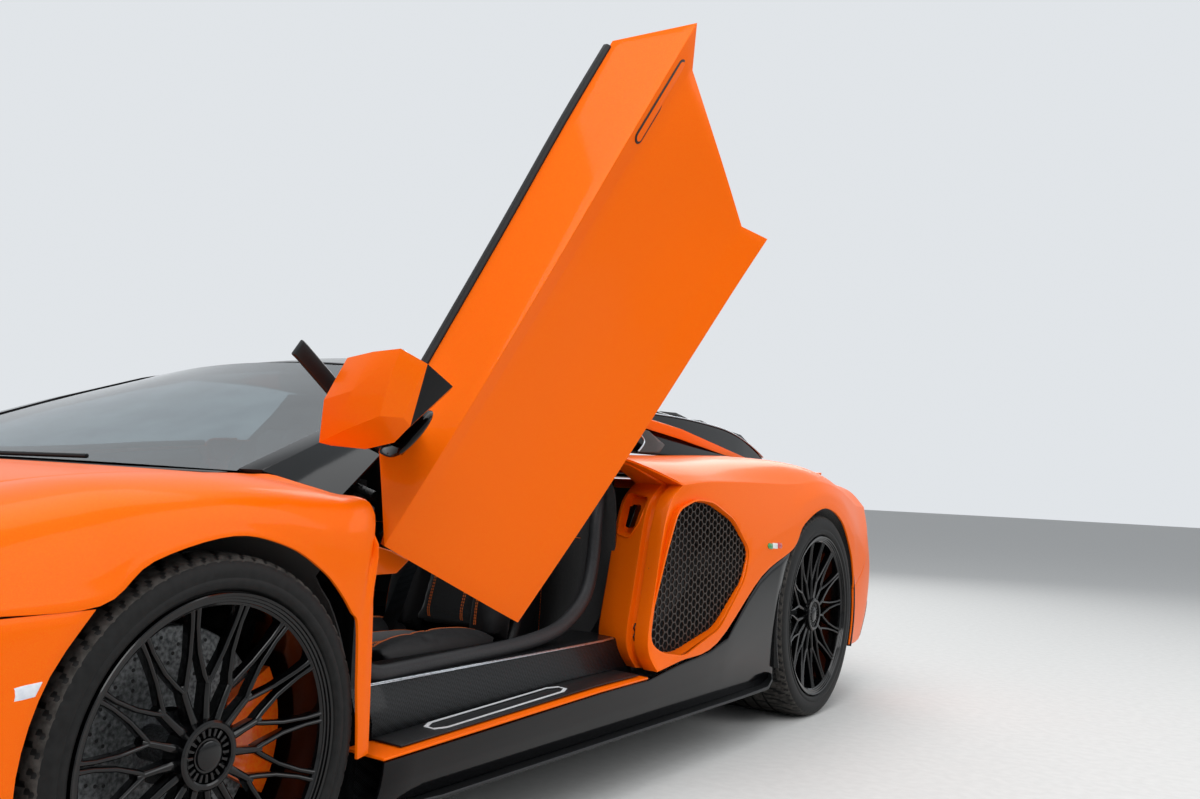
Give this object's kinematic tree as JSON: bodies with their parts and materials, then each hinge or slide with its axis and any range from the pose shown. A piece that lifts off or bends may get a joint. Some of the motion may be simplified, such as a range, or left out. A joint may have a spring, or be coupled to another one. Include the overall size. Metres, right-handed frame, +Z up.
{
  "type": "supercar",
  "caption": "Mid-engined two-seat supercar with scissor doors, the left one raised, honeycomb side intakes and forged wheels.",
  "frame": {"origin": "on the ground, on the mid-plane, halfway along the car's length", "axes": "+Y to the rear, +X to the car's left, +Z up"},
  "size_m": [2.5345, 4.797, 1.7863],
  "materials": {
    "paint": "pearl orange lacquer",
    "black_gloss": "gloss black",
    "black_satin": "satin black",
    "carbon": "lacquered carbon fibre",
    "mesh": "moulded honeycomb",
    "glass": "tinted glass",
    "lamp": "clear lens",
    "tail_lamp": "red lens",
    "rim": "gloss black forged rim",
    "tyre": "rubber",
    "trim": "black hide and suede",
    "rubber": "rubber",
    "metal": "machined",
    "iron": "cast"
  },
  "bodies": {
    "chassis": {"aperture_trims": "rubber", "arch_liners": "black_satin", "cowl": "black_gloss", "dashboard": "trim", "diffuser": "carbon", "engine": "iron", "exhaust": "metal", "front_bumper": "paint", "front_fender_left": "paint", "front_fender_right": "paint", "front_grilles": "mesh", "glazing": "glass", "headlamps": "lamp", "intake_meshes": "mesh", "rear_bumper": "paint", "rear_deck": "paint", "rear_frame": "metal", "rear_grille": "mesh", "rear_quarter_left": "paint", "rear_quarter_right": "paint", "rear_uprights": "metal", "rear_wing": "black_gloss", "rockers": "paint", "roof": "black_gloss", "screen_frame": "black_gloss", "seats": "trim", "skirt_left": "carbon", "skirt_right": "carbon", "splitter": "carbon", "suspension": "metal", "tail_lamps": "tail_lamp", "tub": "carbon", "underfloor": "black_satin"},
    "door_left": {"door_left": "paint", "mirror_left": "paint"},
    "door_right": {"door_right": "paint", "mirror_right": "paint"},
    "bonnet": {"bonnet": "paint"},
    "engine_cover": {"engine_cover": "black_gloss"},
    "steering_wheel": {"steering_wheel": "trim"},
    "knuckle_left": {"knuckle_left": "metal"},
    "knuckle_right": {"knuckle_right": "metal"},
    "wheel_front_left": {"rim_front_left": "rim", "tyre_front_left": "tyre"},
    "wheel_front_right": {"rim_front_right": "rim", "tyre_front_right": "tyre"},
    "wheel_rear_left": {"rim_rear_left": "rim", "tyre_rear_left": "tyre"},
    "wheel_rear_right": {"rim_rear_right": "rim", "tyre_rear_right": "tyre"}
  },
  "joints": [
    {"name": "door_left_hinge", "type": "hinge", "parent": "chassis", "child": "door_left", "pos_m": [0.9, -0.8955, 0.7555], "axis": [0.9471, 0.0979, -0.3057], "range_deg": [-68.3, 0]},
    {"name": "door_right_hinge", "type": "hinge", "parent": "chassis", "child": "door_right", "pos_m": [-0.9, -0.8955, 0.7555], "axis": [0.9471, -0.0979, 0.3057], "range_deg": [0, 68.3]},
    {"name": "bonnet_hinge", "type": "hinge", "parent": "chassis", "child": "bonnet", "pos_m": [0, -1.1085, 0.772], "axis": [-1, 0, 0], "range_deg": [0, 50]},
    {"name": "engine_cover_hinge", "type": "hinge", "parent": "chassis", "child": "engine_cover", "pos_m": [0, 0.45, 1.034], "axis": [1, 0, 0], "range_deg": [0, 45]},
    {"name": "steer_left", "type": "hinge", "parent": "chassis", "child": "knuckle_left", "pos_m": [0.775, -1.3235, 0.33], "axis": [0, 0, 1], "range_deg": [-30, 30]},
    {"name": "steer_right", "type": "hinge", "parent": "chassis", "child": "knuckle_right", "pos_m": [-0.775, -1.3235, 0.33], "axis": [0, 0, 1], "range_deg": [-30, 30]},
    {"name": "steering_wheel_turn", "type": "hinge", "parent": "chassis", "child": "steering_wheel", "pos_m": [0.38, -0.56, 0.64], "axis": [0, 0.9397, 0.342], "range_deg": [-450, 450]},
    {"name": "wheel_front_left_spin", "type": "hinge", "parent": "knuckle_left", "child": "wheel_front_left", "pos_m": [0.858, -1.3235, 0.33], "axis": [1, 0, 0], "continuous": true},
    {"name": "wheel_front_right_spin", "type": "hinge", "parent": "knuckle_right", "child": "wheel_front_right", "pos_m": [-0.858, -1.3235, 0.33], "axis": [1, 0, 0], "continuous": true},
    {"name": "wheel_rear_left_spin", "type": "hinge", "parent": "chassis", "child": "wheel_rear_left", "pos_m": [0.8325, 1.3765, 0.355], "axis": [1, 0, 0], "continuous": true},
    {"name": "wheel_rear_right_spin", "type": "hinge", "parent": "chassis", "child": "wheel_rear_right", "pos_m": [-0.8325, 1.3765, 0.355], "axis": [1, 0, 0], "continuous": true}
  ],
  "couplings": [
    {"joint": "steer_right", "follows": "steer_left", "ratio": 1},
    {"joint": "steering_wheel_turn", "follows": "steer_left", "ratio": 15}
  ]
}
